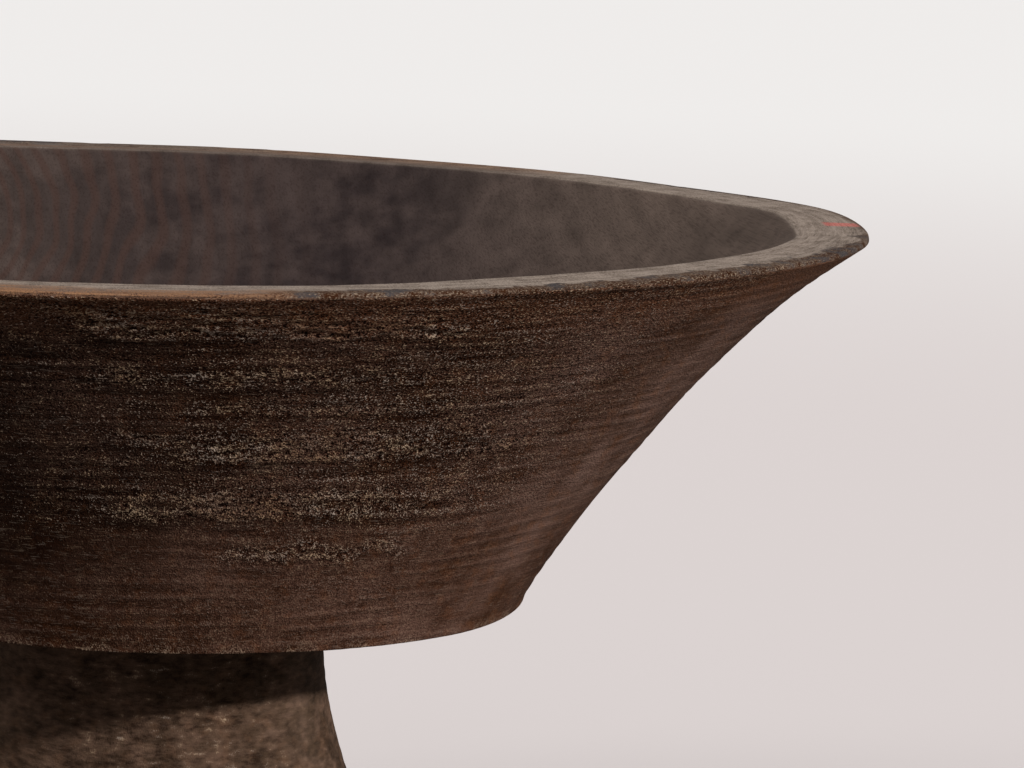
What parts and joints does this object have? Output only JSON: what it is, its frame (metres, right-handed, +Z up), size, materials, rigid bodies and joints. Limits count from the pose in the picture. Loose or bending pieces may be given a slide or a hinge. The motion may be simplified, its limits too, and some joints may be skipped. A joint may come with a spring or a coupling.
{
  "type": "footed bowl",
  "caption": "Wide carved wooden bowl with a flat rim and a hollow-curved flaring wall, standing on a trumpet-shaped pedestal foot.",
  "frame": {"origin": "centre of the foot's flat underside, on the ground", "axes": "+Z up along the bowl's axis of symmetry; the body is round, so +X and +Y are free, with +Y away from the usual viewer"},
  "size_m": [0.3, 0.3, 0.164],
  "materials": {
    "carved_wood": "matte"
  },
  "bodies": {
    "root": {"bowl": "carved_wood", "pedestal": "carved_wood"}
  },
  "joints": []
}
